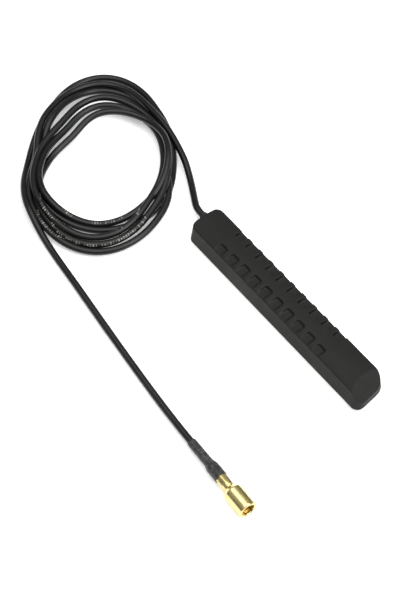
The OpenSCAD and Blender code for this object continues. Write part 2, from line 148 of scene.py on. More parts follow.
def surface_nets(distance, low, high, cell):
    """Closed quad mesh of distance = 0 on a regular grid, then drawn onto the surface."""
    slices = 24                             # grid layers evaluated at once, to limit memory
    count = [int(math.ceil((b - a) / cell)) + 1 for a, b in zip(low, high)]
    axes = [low[i] + cell * np.arange(count[i]) for i in range(3)]
    field = np.empty(count, np.float32)
    y, z = np.meshgrid(axes[1], axes[2], indexing="ij")
    for i in range(0, count[0], slices):
        x = axes[0][i:i + slices][:, None, None]
        field[i:i + slices] = distance(x + 0 * y, y + 0 * x, z + 0 * x)

    # cells with corners on both sides of the surface get one point each
    inside = field < 0
    corners = [(a, b, c) for a in (0, 1) for b in (0, 1) for c in (0, 1)]
    inside_corners = np.zeros([n - 1 for n in count], np.int8)
    for a, b, c in corners:
        inside_corners += inside[a:count[0] - 1 + a, b:count[1] - 1 + b, c:count[2] - 1 + c]
    cells = np.argwhere((inside_corners > 0) & (inside_corners < 8))
    ids = np.full(inside_corners.shape, -1, np.int32)
    ids[tuple(cells.T)] = np.arange(len(cells))

    # the point is the mean of the cell's edge crossings
    total = np.zeros((len(cells), 3))
    crossings = np.zeros(len(cells))
    for corner in corners:
        for axis in range(3):
            if corner[axis]:
                continue
            other = list(corner)
            other[axis] = 1
            f0 = field[tuple((cells + corner).T)]
            f1 = field[tuple((cells + other).T)]
            crosses = (f0 < 0) != (f1 < 0)
            crossing = np.tile(np.array(corner, float), (len(cells), 1))
            crossing[:, axis] += np.where(crosses, f0 / np.where(crosses, f0 - f1, 1), 0)
            total[crosses] += crossing[crosses]
            crossings[crosses] += 1
    start = np.array(low) + cell * (cells + total / crossings[:, None])

    # damped Newton steps onto the surface, kept near the cell
    points = start.copy()
    probe, damping, least_slope, reach = 0.02, 0.8, 0.2, 0.6 * cell
    for _ in range(3):
        value = distance(*points.T)
        gradient = np.stack([(distance(*(points + shift).T) - distance(*(points - shift).T))
                             / (2 * probe) for shift in np.eye(3) * probe], 1)
        slope = np.maximum((gradient * gradient).sum(1), least_slope)
        points = points - damping * value[:, None] * gradient / slope[:, None]
        points = start + np.clip(points - start, -reach, reach)

    # each crossed grid edge gives a quad between its four cells
    quads = []
    for axis in range(3):
        u, w = (axis + 1) % 3, (axis + 2) % 3
        edges = np.argwhere(np.diff(inside, axis=axis))
        edges = edges[(edges[:, u] > 0) & (edges[:, w] > 0)
                      & (edges[:, u] < count[u] - 1) & (edges[:, w] < count[w] - 1)]
        ring = []
        for du, dw in ((1, 1), (0, 1), (0, 0), (1, 0)):
            neighbour = edges.copy()
            neighbour[:, u] -= du
            neighbour[:, w] -= dw
            ring.append(ids[tuple(neighbour.T)])
        quad = np.stack(ring, 1)
        quads.append(np.where(inside[tuple(edges.T)][:, None], quad, quad[:, ::-1]))
    return points, np.concatenate(quads)


def lathe(name, profile, material, segments, place, wobble=None, sharp=40):
    """Closed profile of (x, radius) turned round the local x axis, then placed."""
    profile = np.array(profile, float)
    rows = len(profile)
    angles = 2 * np.pi * (np.arange(segments) + 0.5) / segments
    x = np.repeat(profile[:, :1], segments, 1)
    radius = np.repeat(profile[:, 1:], segments, 1)
    angle = np.repeat(angles[None], rows, 0)
    if wobble is not None:
        radius = radius + wobble(x, angle, radius)
    points = np.stack([x, radius * np.cos(angle), radius * np.sin(angle)], 2).reshape(-1, 3)
    row = np.arange(rows)[:, None] * segments
    next_row = (np.arange(rows)[:, None] + 1) % rows * segments
    k = np.arange(segments)[None]
    next_k = (k + 1) % segments
    faces = np.stack([row + k, row + next_k, next_row + next_k, next_row + k], 2).reshape(-1, 4)
    # faces point outward whichever way round the profile is listed
    ahead = np.roll(profile, -1, axis=0)
    if np.sum(profile[:, 0] * ahead[:, 1] - ahead[:, 0] * profile[:, 1]) > 0:
        faces = faces[:, ::-1]
    return make_mesh(name, place(points), [faces], material, sharp)


def fine_profile(points, corner, step):
    """Rounds a closed profile's corners by about corner and adds points along its runs."""
    arc_steps = 4
    points = [np.array(p, float) for p in points]
    rounded = []
    for i, point in enumerate(points):
        before = points[i - 1] - point
        after = points[(i + 1) % len(points)] - point
        before_length, after_length = np.linalg.norm(before), np.linalg.norm(after)
        cut = min(corner, 0.4 * before_length, 0.4 * after_length)
        start = point + before / before_length * cut
        end = point + after / after_length * cut
        for t in np.linspace(0, 1, arc_steps + 1):
            rounded.append((1 - t) ** 2 * start + 2 * t * (1 - t) * point + t * t * end)
    fine = []
    for i, point in enumerate(rounded):
        run = rounded[(i + 1) % len(rounded)] - point
        pieces = max(1, int(np.linalg.norm(run) / step))
        for j in range(pieces):
            fine.append(point + run * j / pieces)
    return fine


def lumps(along, angle, seed, waves, turns):
    """Repeatable smooth noise: a mean of sines, with up to turns waves round the axis."""
    rng = np.random.default_rng(seed)
    total = 0
    for _ in range(waves):
        k_along, k_angle = rng.uniform(0.3, 1.0), round(rng.uniform(-1, 1) * turns)
        wave = np.sin(k_along * along + k_angle * angle + rng.uniform(0, 6.283))
        total = total + wave * rng.uniform(0.4, 1)
    return total / waves


# =============================================================== material tools
def rgba(color):
    return color if isinstance(color, bpy.types.NodeSocket) else (*color, 1.0)


class Nodes:
    """Adds nodes to a tree; any input takes a value or another node's output."""

    def __init__(self, tree):
        self.tree = tree
        tree.nodes.clear()

    def put(self, socket, value):
        if isinstance(value, bpy.types.NodeSocket):
            self.tree.links.new(value, socket)
        else:
            socket.default_value = value

    def node(self, kind, inputs=None, **properties):
        node = self.tree.nodes.new(kind)
        for key, value in properties.items():
            setattr(node, key, value)
        for key, value in (inputs or {}).items():
            self.put(node.inputs[key], value)
        return node

    def ramp(self, value, span=(0.3, 0.7), to=(0.0, 1.0)):
        """Smooth step: the input range span becomes the output range to."""
        inputs = dict(enumerate((value, *span, *to)))
        return self.node("ShaderNodeMapRange", inputs, clamp=True,
                         interpolation_type="SMOOTHSTEP").outputs[0]


class Material(Nodes):
    """A Principled material built from procedural nodes. Sizes and depths are in mm."""

    def __init__(self, name):
        self.data = bpy.data.materials.new(name)
        self.data.use_nodes = True
        super().__init__(self.data.node_tree)
        output = self.node("ShaderNodeOutputMaterial")
        self.shader = self.node("ShaderNodeBsdfPrincipled")
        self.put(output.inputs[0], self.shader.outputs[0])
        self.position = self.node("ShaderNodeTexCoord").outputs["Object"]
        self.normal = None

    def math(self, operation, a, b=0.0):
        return self.node("ShaderNodeMath", {0: a, 1: b}, operation=operation).outputs[0]

    def add(self, a, b):
        return self.math("ADD", a, b)

    def subtract(self, a, b):
        return self.math("SUBTRACT", a, b)

    def multiply(self, a, b):
        return self.math("MULTIPLY", a, b)

    def stretch(self, scale, turn=0.0, vector=None):
        """Scaled coordinates, turned about z by turn radians."""
        inputs = {"Vector": vector or self.position, "Scale": scale, "Rotation": (0, 0, turn)}
        return self.node("ShaderNodeMapping", inputs).outputs[0]

    def noise(self, size, detail=4.0, rough=0.6, vector=None):
        inputs = {"Vector": vector or self.position, "Scale": 1000.0 / size,
                  "Detail": detail, "Roughness": rough}
        return self.node("ShaderNodeTexNoise", inputs).outputs["Fac"]

    def streaks(self, size, scale, span, turn=0.0):
        """Sparse scratches, long where scale is small."""
        vector = self.stretch(scale, turn)
        return self.ramp(self.noise(size=size, detail=2.0, rough=0.5, vector=vector), span)

    def cells(self, size, feature="F1"):
        inputs = {"Vector": self.position, "Scale": 1000.0 / size}
        return self.node("ShaderNodeTexVoronoi", inputs, feature=feature).outputs["Distance"]

    def mix(self, factor, a, b):
        inputs = {0: factor, 6: rgba(a), 7: rgba(b)}
        return self.node("ShaderNodeMix", inputs, data_type="RGBA").outputs[2]

    def bump(self, height, depth, strength=1.0):
        """Adds a bump over the earlier ones."""
        inputs = {"Strength": strength, "Distance": depth * MM, "Height": height}
        if self.normal is not None:
            inputs["Normal"] = self.normal
        self.normal = self.node("ShaderNodeBump", inputs).outputs[0]

    def finish(self, color, rough, metallic=0.0, **more):
        inputs = {"Base Color": rgba(color), "Roughness": rough, "Metallic": metallic,
                  "Normal": self.normal}
        inputs.update({key.replace("_", " "): value for key, value in more.items()})
        for key, value in inputs.items():
            self.put(self.shader.inputs[key], value)
        return self.data


# =============================================================== materials
def moulded(name, base, worn, rough, dust, grain_size=0.16, grain_depth=0.012,
            dust_color=(0.16, 0.155, 0.15)):
    """Moulded plastic: fine grain, handling sheen, rubbed edges, scratches and dust."""
    mat = Material(name)
    grain = mat.noise(size=grain_size)
    pits = mat.cells(size=grain_size * 2.2)
    wide = mat.noise(size=14.0)
    mottle = mat.ramp(mat.noise(size=2.6, detail=5.0, rough=0.65), span=(0.35, 0.7))
    specks = mat.ramp(mat.noise(size=0.55, detail=3.0, rough=0.7), span=(0.69, 0.76))
    pointiness = mat.node("ShaderNodeNewGeometry").outputs["Pointiness"]
    edge = mat.ramp(pointiness, span=(0.515, 0.58))
    across = mat.streaks(size=0.5, scale=(0.06, 1.0, 1.0), span=(0.72, 0.8), turn=0.5)
    along = mat.streaks(size=0.45, scale=(0.9, 0.05, 1.0), span=(0.73, 0.8), turn=0.7)
    scratch = mat.multiply(mat.math("MAXIMUM", across, along), mat.ramp(wide, span=(0.5, 0.62)))
    edge_wear, scratch_wear, lighter, edge_polish = 0.25, 0.22, 1.12, 0.08
    color = mat.mix(mottle, base, [c * lighter for c in base])
    color = mat.mix(mat.multiply(edge, edge_wear), color, worn)
    color = mat.mix(mat.multiply(scratch, scratch_wear), color, worn)
    dusty = mat.multiply(mat.ramp(wide, span=(0.42, 0.65)), dust)
    color = mat.mix(mat.multiply(specks, dusty), color, dust_color)
    sheen = mat.add(mat.ramp(wide, to=(rough - 0.06, rough + 0.05)),
                    mat.ramp(grain, to=(-0.035, 0.045)))
    sheen = mat.subtract(sheen, mat.multiply(edge, edge_polish))
    mat.bump(grain, depth=grain_depth)
    mat.bump(pits, depth=grain_depth * 0.7)
    mat.bump(wide, depth=0.05, strength=0.4)
    mat.bump(scratch, depth=0.006, strength=0.5)
    return mat.finish(color, sheen, Specular_IOR_Level=0.17)


def gilt(name, base, rough, heading=0.0, tint=(0.62, 0.36, 0.12)):
    """Gold over turned metal: tool rings square to the heading, tarnish, small scratches."""
    mat = Material(name)
    ring_vector = mat.stretch((1.0, 0.04, 0.04), turn=-heading)
    rings = mat.noise(size=0.09, detail=3.0, rough=0.7, vector=ring_vector)
    wide = mat.noise(size=3.2)
    tarnish = mat.ramp(mat.noise(size=1.1, detail=5.0, rough=0.65), span=(0.52, 0.78))
    scratch = mat.streaks(size=0.3, scale=(0.1, 1.0, 0.8), span=(0.7, 0.78))
    deeper, tarnish_tint, dulling = (0.97, 0.93, 0.84), 0.22, 0.1
    color = mat.mix(mat.ramp(wide), base, [c * k for c, k in zip(base, deeper)])
    color = mat.mix(mat.multiply(tarnish, tarnish_tint), color, tint)
    sheen = mat.add(mat.ramp(wide, to=(rough - 0.03, rough + 0.06)),
                    mat.ramp(rings, to=(-0.03, 0.05)))
    sheen = mat.add(sheen, mat.multiply(mat.math("MAXIMUM", tarnish, scratch), dulling))
    mat.bump(rings, depth=0.004, strength=0.9)
    mat.bump(wide, depth=0.03, strength=0.3)
    mat.bump(scratch, depth=0.004, strength=0.5)
    return mat.finish(color, sheen, metallic=1.0)


def metal(name, base, dull, rough, grain_size=0.3, grain_depth=0.01):
    """Bare metal with fine grain and dull patches."""
    mat = Material(name)
    grain = mat.noise(size=grain_size)
    wide = mat.noise(size=1.6)
    color = mat.mix(mat.ramp(wide, span=(0.4, 0.7)), base, dull)
    mat.bump(grain, depth=grain_depth, strength=0.8)
    mat.bump(wide, depth=0.03, strength=0.4)
    sheen = mat.add(mat.ramp(wide, to=(rough, rough + 0.14)), mat.ramp(grain, to=(-0.03, 0.05)))
    return mat.finish(color, sheen, metallic=1.0)


def printed_ticks(mat, along, around):
    """Mask of a row of printed ticks, dashes and split ticks, with some cells left empty."""
    pitch, height, word_cells = 1.05, 1.02, 7.0
    centre, split_half_gap, ink = 0.45, 0.12, 0.85
    empty_cells, empty_words, split_above = 0.14, 0.16, 0.5      # thresholds on random values
    cell = mat.math("FLOOR", mat.math("DIVIDE", along, pitch))
    in_cell = mat.math("FRACT", mat.math("DIVIDE", along, pitch))
    cell_random = mat.node("ShaderNodeTexWhiteNoise", {"W": cell}, noise_dimensions="1D")
    word = mat.math("FLOOR", mat.math("DIVIDE", along, pitch * word_cells))
    word_seed = mat.node("ShaderNodeCombineXYZ", {0: word, 1: 3.7}).outputs[0]
    word_random = mat.node("ShaderNodeTexWhiteNoise", {"Vector": word_seed},
                           noise_dimensions="2D")
    random = mat.node("ShaderNodeSeparateColor", {0: cell_random.outputs["Color"]}).outputs
    half_width = mat.ramp(random[0], span=(0.45, 0.55), to=(0.1, 0.3))
    half_height = mat.ramp(random[1], to=(height * 0.3, height * 0.5))
    off_centre = mat.math("ABSOLUTE", mat.subtract(in_cell, centre))
    off_line = mat.math("ABSOLUTE", around)
    ticks = mat.multiply(mat.math("LESS_THAN", off_centre, half_width),
                         mat.math("LESS_THAN", off_line, half_height))
    split = mat.multiply(mat.math("LESS_THAN", off_line, split_half_gap),
                         mat.math("GREATER_THAN", random[2], split_above))
    ticks = mat.multiply(ticks, mat.subtract(1.0, split))
    for value, least in ((cell_random, empty_cells), (word_random, empty_words)):
        ticks = mat.multiply(ticks, mat.math("GREATER_THAN", value.outputs["Value"], least))
    worn = mat.ramp(mat.noise(size=0.35, detail=3.0, rough=0.7), span=(0.36, 0.52))
    return mat.multiply(ticks, mat.multiply(worn, ink))


def pvc_cable():
    """Black PVC jacket: soft gloss, extrusion lines, dust and a row of pale printed ticks."""
    mat = Material("pvc_printed")
    # the UV map holds mm along the cable and mm round it from the print line
    uv = mat.node("ShaderNodeUVMap", uv_map="path").outputs[0]
    along, around, _ = mat.node("ShaderNodeSeparateXYZ", {0: uv}).outputs
    orange_peel = mat.noise(size=0.5, detail=3.0, rough=0.55)
    fine = mat.noise(size=0.14, detail=3.0)
    wide = mat.noise(size=18.0)
    line_inputs = {"Vector": mat.stretch((0.05, 6.0, 1.0), vector=uv), "Scale": 1.0,
                   "Detail": 3.0}
    lines = mat.node("ShaderNodeTexNoise", line_inputs, noise_dimensions="2D").outputs["Fac"]
    dust = mat.ramp(mat.noise(size=0.32, detail=3.0, rough=0.7), span=(0.7, 0.77))
    dust = mat.multiply(dust, mat.ramp(wide, span=(0.42, 0.64), to=(0.1, 1.0)))
    dust_tint, dust_dulling, print_dulling = 0.35, 0.25, 0.2
    color = mat.mix(mat.ramp(wide), (0.0035, 0.0035, 0.0035), (0.0065, 0.0065, 0.0063))
    color = mat.mix(mat.multiply(dust, dust_tint), color, (0.17, 0.165, 0.155))
    sheen = mat.add(mat.ramp(wide, to=(0.27, 0.37)), mat.ramp(orange_peel, to=(-0.02, 0.04)))
    sheen = mat.add(sheen, mat.multiply(dust, dust_dulling))
    ticks = printed_ticks(mat, along, around)
    color = mat.mix(ticks, color, (0.29, 0.28, 0.245))
    sheen = mat.add(sheen, mat.multiply(ticks, print_dulling))
    mat.bump(ticks, depth=0.012, strength=0.6)
    mat.bump(orange_peel, depth=0.03, strength=0.5)
    mat.bump(fine, depth=0.006, strength=0.8)
    mat.bump(lines, depth=0.012, strength=0.5)
    mat.bump(dust, depth=0.02, strength=0.6)
    return mat.finish(color, sheen, Specular_IOR_Level=0.32)


def heat_shrink():
    """Heat-shrink sleeve: soft black, slightly uneven sheen, tiny wrinkles round it, painted shade in the hollows
    of its lumps.
    """
    mat = Material("heat_shrink_sleeve")
    fine = mat.noise(size=0.16, detail=3.0)
    middle = mat.noise(size=1.3)
    wrinkles = mat.noise(size=0.7, detail=3.0, vector=mat.stretch((1.0, 0.35, 0.35)))
    dust = mat.ramp(mat.noise(size=0.4, detail=3.0, rough=0.7), span=(0.68, 0.76))
    dust_tint = 0.5
    # painted shade and light: the colour is darker in the hollows of the middle bump and lighter on its rises
    color = mat.mix(mat.ramp(middle, span=(0.42, 0.62)),
                    (0.005, 0.005, 0.005), (0.038, 0.037, 0.036))
    color = mat.mix(mat.multiply(dust, dust_tint), color, (0.2, 0.195, 0.19))
    mat.bump(wrinkles, depth=0.22, strength=0.9)
    mat.bump(middle, depth=0.30, strength=0.9)
    mat.bump(fine, depth=0.035, strength=0.9)
    sheen = mat.add(mat.ramp(middle, to=(0.42, 0.56)), mat.ramp(fine, to=(-0.03, 0.04)))
    return mat.finish(color, sheen)


def acrylic_foam():
    """Grey foam with dark pores, their darkness painted shade in the pits of the pore bump."""
    mat = Material("acrylic_foam")
    pores = mat.cells(size=0.22)
    wide = mat.noise(size=3.0)
    color = mat.mix(mat.ramp(wide), (0.30, 0.31, 0.30), (0.40, 0.41, 0.40))
    # painted shade: the pits of the pore bump are coloured dark
    color = mat.mix(mat.ramp(pores, span=(0.0, 0.35), to=(0.35, 0.0)), color,
                    (0.16, 0.165, 0.16))
    mat.bump(pores, depth=0.05, strength=0.8)
    return mat.finish(color, mat.ramp(wide, to=(0.78, 0.9)))


def release_paper():
    """Siliconed paper: fibres, faint creases, a slight gloss."""
    mat = Material("release_paper")
    fibres = mat.noise(size=0.5, vector=mat.stretch((0.3, 1.0, 1.0)))
    wide = mat.noise(size=9.0)
    creases = mat.ramp(mat.cells(size=16.0, feature="DISTANCE_TO_EDGE"), span=(0.0, 0.02),
                       to=(1.0, 0.0))
    color = mat.mix(mat.ramp(fibres), (0.78, 0.70, 0.50), (0.86, 0.79, 0.60))
    color = mat.mix(mat.ramp(wide, span=(0.45, 0.75), to=(0.0, 0.3)), color, (0.66, 0.58, 0.40))
    mat.bump(fibres, depth=0.01, strength=0.6)
    mat.bump(creases, depth=0.03, strength=0.3)
    return mat.finish(color, mat.ramp(wide, to=(0.36, 0.52)))


def solder_mask():
    """Green solder mask over glass weave."""
    mat = Material("board_mask")
    inputs = {"Vector": mat.position, "Scale": 700}
    weave = mat.multiply(*[mat.node("ShaderNodeTexWave", inputs,
                                    bands_direction=axis).outputs["Fac"] for axis in "XY"])
    wide = mat.noise(size=5.0)
    color = mat.mix(mat.ramp(weave, span=(0.2, 0.8)), (0.012, 0.095, 0.035), (0.02, 0.14, 0.05))
    color = mat.mix(mat.ramp(wide, span=(0.4, 0.7), to=(0.0, 0.4)), color, (0.01, 0.07, 0.03))
    mat.bump(weave, depth=0.01, strength=0.5)
    return mat.finish(color, mat.ramp(wide, to=(0.3, 0.42)))


def smooth_solid(name, light, dark, rough):
    """Smooth plastic or ceramic with slight mottling."""
    mat = Material(name)
    fine = mat.noise(size=0.35)
    wide = mat.noise(size=2.5)
    color = mat.mix(mat.ramp(wide), light, dark)
    mat.bump(fine, depth=0.01, strength=0.6)
    sheen = mat.add(mat.ramp(wide, to=(rough - 0.05, rough + 0.07)),
                    mat.ramp(fine, to=(-0.02, 0.03)))
    return mat.finish(color, sheen)


def studio_floor():
    """Matt white floor that glows slightly."""
    mat = Material("studio_floor")
    wide = mat.noise(size=120.0, detail=3.0, rough=0.5)
    fine = mat.noise(size=0.8, detail=2.0, rough=0.5)
    mat.bump(fine, depth=0.01, strength=0.2)
    color = mat.mix(mat.ramp(wide), (0.93, 0.93, 0.93), (0.945, 0.945, 0.945))
    return mat.finish(color, mat.ramp(wide, to=(0.8, 0.9)), Specular_IOR_Level=0.15,
                      Emission_Color=(1.0, 1.0, 1.0, 1.0), Emission_Strength=0.3)


PLUG_HEADING = math.atan2(-0.0522974, 0.9978935)     # about z, for the tool rings
MATERIALS = {
    "cover": moulded("cover_plastic", base=(0.0100, 0.0100, 0.0094), worn=(0.040, 0.040, 0.039),
                     rough=0.56, dust=0.25, dust_color=(0.07, 0.07, 0.065)),
    "base": moulded("base_plastic", base=(0.034, 0.034, 0.036), worn=(0.08, 0.08, 0.08),
                    rough=0.5, dust=0.2, grain_size=0.3, grain_depth=0.006),
    "boot": moulded("boot_rubber", base=(0.024, 0.024, 0.025), worn=(0.07, 0.07, 0.07),
                    rough=0.52, dust=0.5, grain_size=0.2, grain_depth=0.008),
    "pvc": pvc_cable(),
    "gold_shell": gilt("gold_shell", base=(0.74, 0.635, 0.30), rough=0.20,
                       heading=PLUG_HEADING),
    "gold_ferrule": gilt("gold_ferrule", base=(0.73, 0.625, 0.295), rough=0.25,
                         heading=PLUG_HEADING),
    "gold_inner": gilt("gold_inner", base=(0.95, 0.66, 0.25), rough=0.22,
                       tint=(0.5, 0.24, 0.07)),
    "copper": metal("copper_track", base=(0.80, 0.42, 0.26), dull=(0.52, 0.25, 0.14),
                    rough=0.28),
    "tin": metal("solder_tin", base=(0.72, 0.72, 0.71), dull=(0.48, 0.48, 0.47), rough=0.24,
                 grain_size=0.12, grain_depth=0.02),
    "braid": metal("tinned_braid", base=(0.66, 0.66, 0.67), dull=(0.42, 0.42, 0.42), rough=0.3,
                   grain_size=0.18, grain_depth=0.05),
    "shrink": heat_shrink(),
    "foam": acrylic_foam(),
    "liner": release_paper(),
    "board": solder_mask(),
    "ptfe": smooth_solid("ptfe", light=(0.80, 0.79, 0.75), dark=(0.70, 0.69, 0.65), rough=0.42),
    "poly": smooth_solid("foamed_polyethylene", light=(0.80, 0.80, 0.77),
                         dark=(0.70, 0.70, 0.66), rough=0.38),
    "ferrite": smooth_solid("ceramic_ferrite", light=(0.50, 0.49, 0.46),
                            dark=(0.40, 0.39, 0.36), rough=0.45),
    "ceramic": smooth_solid("capacitor_ceramic", light=(0.36, 0.22, 0.12),
                            dark=(0.28, 0.17, 0.09), rough=0.35),
}

# =============================================================== cover
cover_low, cover_high = box_mm("top_cover")
boot_low, boot_high = box_mm("strain_relief_boot")
HALF_LENGTH = -cover_low[0]
HALF_WIDTH = (cover_high[1] - cover_low[1]) / 2
BOTTOM, TOP = cover_low[2], cover_high[2]
EXIT_Y, EXIT_Z = (boot_low[1:] + boot_high[1:]) / 2      # axis of the cable exit
SIDE_TOP, DRAFT = 8.2, 1.2                               # the sides lean in by DRAFT
CROWN_HALF_WIDTH, CROWN_RISE = HALF_WIDTH - DRAFT, TOP - SIDE_TOP
CROWN_RADIUS = (CROWN_HALF_WIDTH ** 2 + CROWN_RISE ** 2) / (2 * CROWN_RISE)
NOSE_X, NOSE_Z = HALF_LENGTH + 0.7, 5.0
NOSE_SLOPE, NOSE_SKEW = math.radians(34.0), math.radians(8.0)
SKEW_SIN, SKEW_COS = math.sin(NOSE_SKEW), math.cos(NOSE_SKEW)
BACK_CORNER = 2.5
NOSE_CORNERS = ((-1, 3.0), (1, 6.5))                     # (side in y, radius)
POCKETS, POCKET_PITCH, POCKET_LENGTH = 10, 6.24, 4.0     # grip pockets along each side
POCKET_START, POCKET_FLOOR = -33.9, 7.0
POCKET_FLOOR_LIFT = 1.05                                 # the -y row is this much shallower
POCKET_CORNER, POCKET_REACH = 0.9, 10                    # REACH: half width, past the side
POCKET_Y_MIDDLE, POCKET_Y_END = 1.9, 3.2                 # inner ends, mid-row and row ends
MARK_X, MARK_Y, MARK_RADIUS = -5.6, -4.2, 2.9            # round witness mark
FINE_LINE = 0.05                                         # depth of the land and the mark
CAVITY_TOP, STEP_TOP = 5.6, 1.85
CAVITY = dict(half_length=HALF_LENGTH - 3.7, half_width=HALF_WIDTH - 1.8,
              back_corner=1.0, nose_corner=3.0)
BASE_STEP = dict(half_length=HALF_LENGTH - 1.2, half_width=HALF_WIDTH - 1.2,
                 back_corner=0.8, nose_corner=5.0)
HOLE_RADIUS, HOLE_DEPTH = 1.65, 4
GROOVE_RADIUS, GROOVE_DEPTH, GROOVE_HALF = 1.96, 2.35, 0.65      # seat of the boot's flange


def rounded_rectangle(x, y, half_x, half_y, radius):
    qx, qy = np.abs(x) - (half_x - radius), np.abs(y) - (half_y - radius)
    return np.minimum(np.maximum(qx, qy), 0) + np.hypot(np.maximum(qx, 0),
                                                        np.maximum(qy, 0)) - radius


def inner_plan(x, y, half_length, half_width, back_corner, nose_corner):
    radius = np.where(x > 0, nose_corner, back_corner)
    return rounded_rectangle(x, y, half_length, half_width, radius)


def outline(x, y, half_width):
    """Distance to the housing's plan, with its skewed nose and four round corners."""
    across = np.abs(y)
    nose = (x - NOSE_X) * SKEW_COS + y * SKEW_SIN
    d = np.maximum(np.maximum(across - half_width, -x - HALF_LENGTH), nose)
    for side, radius in NOSE_CORNERS:
        centre_y = side * (half_width - radius)
        centre_x = NOSE_X - centre_y * math.tan(NOSE_SKEW) - radius / SKEW_COS
        dx, dy = x - centre_x, y - centre_y
        sector = (dx > 0) & (side * (dy * SKEW_COS - dx * SKEW_SIN) > 0) & (x > 0)
        d = np.where(sector, np.hypot(dx, dy) - radius, d)
    dx, dy = -x - (HALF_LENGTH - BACK_CORNER), across - (half_width - BACK_CORNER)
    return np.where((dx > 0) & (dy > 0), np.hypot(dx, dy) - BACK_CORNER, d)


def pocket_distance(x, y, z):
    first = POCKET_START + POCKET_LENGTH / 2
    k = np.clip(np.round((x - first) / POCKET_PITCH), 0, POCKETS - 1)
    from_middle = (k - (POCKETS - 1) / 2) * POCKET_PITCH
    place = from_middle / ((POCKET_PITCH * (POCKETS - 1) + POCKET_LENGTH) / 2)
    inner_y = POCKET_Y_MIDDLE + (POCKET_Y_END - POCKET_Y_MIDDLE) * place * place
    plan = rounded_rectangle(x - (first + k * POCKET_PITCH), np.abs(y) - (inner_y + POCKET_REACH),
                             POCKET_LENGTH / 2, POCKET_REACH, POCKET_CORNER)
    return smooth_max(plan, POCKET_FLOOR + POCKET_FLOOR_LIFT * (y < 0) - z, 0.9)


def cover_distance(x, y, z):
    lean = DRAFT * np.clip((z - BOTTOM) / (SIDE_TOP - BOTTOM), 0, 1.5)
    sides = outline(x, y, HALF_WIDTH - lean)
    crown = np.hypot(y, z - (TOP - CROWN_RADIUS)) - CROWN_RADIUS
    # hairline land where the crown meets the sides
    land = np.exp(-((np.abs(y) - (CROWN_HALF_WIDTH - 0.45)) / 0.16) ** 2)
    land = land * (np.abs(x) < HALF_LENGTH - 3)
    d = smooth_max(sides, crown + FINE_LINE * land, 0.45)
    ahead = (x - NOSE_X) * SKEW_COS + y * SKEW_SIN
    nose = ahead * math.sin(NOSE_SLOPE) + (z - NOSE_Z) * math.cos(NOSE_SLOPE)
    d = smooth_max(d, nose, 0.3)
    d = smooth_max(d, -pocket_distance(x, y, z), 0.35)
    mark = np.abs(np.hypot(x - MARK_X, y - MARK_Y) - MARK_RADIUS)
    d = d + FINE_LINE * np.exp(-(mark / 0.22) ** 2) * (z > 6.2)
    d = smooth_max(d, BOTTOM - z, 0.15)
    # hollow inside, step for the base plate, cable hole and the groove in it
    cavity = np.maximum(inner_plan(x, y, **CAVITY), z - CAVITY_TOP)
    step = np.maximum(inner_plan(x, y, **BASE_STEP), z - STEP_TOP)
    from_exit = np.hypot(y - EXIT_Y, z - EXIT_Z)
    depth = x + HALF_LENGTH
    hole = np.maximum(from_exit - HOLE_RADIUS, depth - HOLE_DEPTH)
    groove = np.maximum(from_exit - GROOVE_RADIUS, np.abs(depth - GROOVE_DEPTH) - GROOVE_HALF)
    return np.maximum(d, -np.minimum(np.minimum(cavity, step), np.minimum(hole, groove)))


GRID_MARGIN = 0.37
grid_cell = 0.25
points, quads = surface_nets(cover_distance, cover_low - GRID_MARGIN, cover_high + GRID_MARGIN,
                             grid_cell)
cover = make_mesh("cover_shell", points, [quads], MATERIALS["cover"], sharp=62)
declare(cover, "top_cover", "antenna")

# =============================================================== strain-relief boot
boot_x, wall_x = boot_low[0], cover_low[0]
BOOT_PROFILE = [                            # (x, radius), tapered outside, flanged inside
    (boot_x, 1.37), (boot_x, 1.62), (boot_x + 0.5, 1.70), (boot_x + 1.7, 1.80),
    (boot_x + 2.6, 1.92), (wall_x - 0.35, 2.05), (wall_x - 0.03, 2.05), (wall_x - 0.03, 1.63),
    (wall_x + 1.75, 1.62), (wall_x + 1.75, 1.88), (wall_x + 2.9, 1.88), (wall_x + 2.9, 1.37)]


def on_exit(points):
    return points + np.array([0, EXIT_Y, EXIT_Z])


boot = lathe("strain_boot", fine_profile(BOOT_PROFILE, corner=0.16, step=0.25),
             MATERIALS["boot"], segments=56, place=on_exit)
declare(boot, "strain_relief_boot", "antenna")

# =============================================================== cable path
flex_boot = joint_at("boot_flex")
flex_plug = joint_at("plug_flex")
plug_dir = unit(np.array(mounts["plug_outer_contact"]["axis"], float))

COIL_TURN, COIL_CENTRE = math.radians(51.95), (-70.3, 68.9)      # centre in the turned frame
COIL_OUTER = [30.0, 34.0, 44.4, 34.1, 29.4, 36.6, 44.3, 35.7]    # outer radius every 45 degrees
COIL_STATIONS = [                           # (inset from COIL_OUTER, z) every 45 degrees
    (-14.6, 1.5), (-2.9, 3.3),
    (3.7, 4.8), (6.0, 2.7), (4.3, 5.6), (4.9, 4.5), (2.1, 3.9), (1.0, 2.1), (0.6, 2.7),
    (5.1, 3.0), (3.7, 1.5), (8.6, 1.7), (7.6, 6.3), (6.6, 1.4), (4.6, 3.4), (3.5, 3.1),
    (4.2, 4.3), (3.0, 6.6), (5.9, 3.4), (15.3, 5.6), (12.3, 6.1), (5.8, 5.8), (5.6, 5.8),
    (6.6, 3.4), (7.3, 4.7), (5.1, 4.9), (8.1, 3.9), (18.8, 4.8), (14.8, 4.2), (7.9, 5.2),
    (8.8, 6.1), (13.9, 2.0), (7.4, 4.2), (3.2, 8.5), (8.7, 5.4), (24.4, 7.1), (18.7, 3.5),
    (9.4, 1.4), (7.5, 3.2), (11.4, 1.5), (3.8, 1.4), (1.3, 1.4), (1.6, 3.2), (1.5, 1.4),
    (3.7, 3.3), (1.8, 1.4), (0.3, 5.1), (-6.0, 1.4)]
COIL_END, COIL_KNOT, COIL_STEP = 2025.0, 15.0, 1.5               # degrees
ENTRY = [(-4.4, 2.2, 2.7), (-13.4, 7.2, 1.75)]      # (x, y from the boot flex, z)
